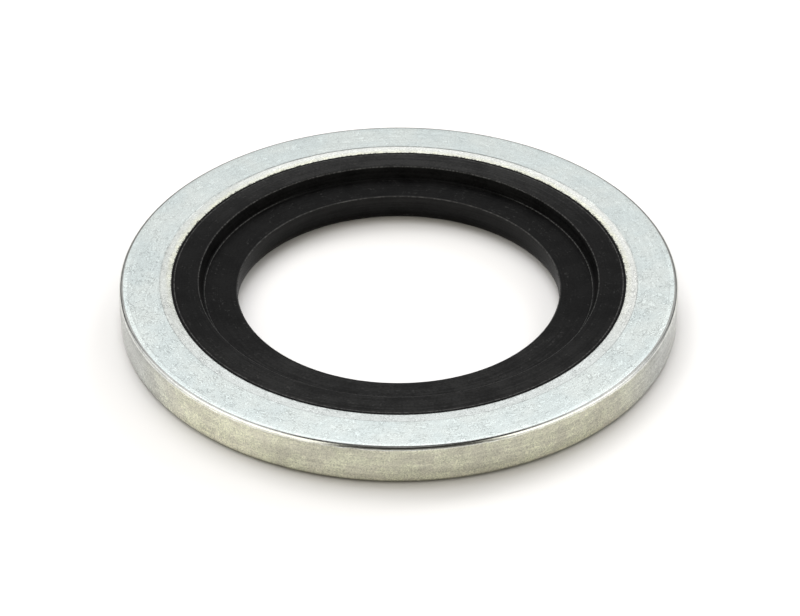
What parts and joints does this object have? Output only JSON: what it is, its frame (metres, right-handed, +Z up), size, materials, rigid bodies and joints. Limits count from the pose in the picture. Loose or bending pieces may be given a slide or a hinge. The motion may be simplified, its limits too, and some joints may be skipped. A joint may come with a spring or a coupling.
{
  "type": "bonded sealing washer",
  "caption": "Flat zinc-plated steel washer with a black rubber seal bonded in its bore: a sealing band, and a thinner web that centres it on a thread.",
  "frame": {"origin": "centre of the underside, where the washer lies on a flat surface", "axes": "+Z up the axis of the bore, through the side with the stepped rubber; X and Y are any two radii at right angles"},
  "size_m": [0.02, 0.02, 0.0015],
  "materials": {
    "zinc_plated_steel": "bright zinc plate, faintly bluish on the flat faces and yellowish on the edge, lightly mottled",
    "nitrile_rubber": "black moulded rubber, satin, with faint mould rings"
  },
  "bodies": {
    "root": {"steel_ring": "zinc_plated_steel", "rubber_seal": "nitrile_rubber"}
  },
  "joints": []
}
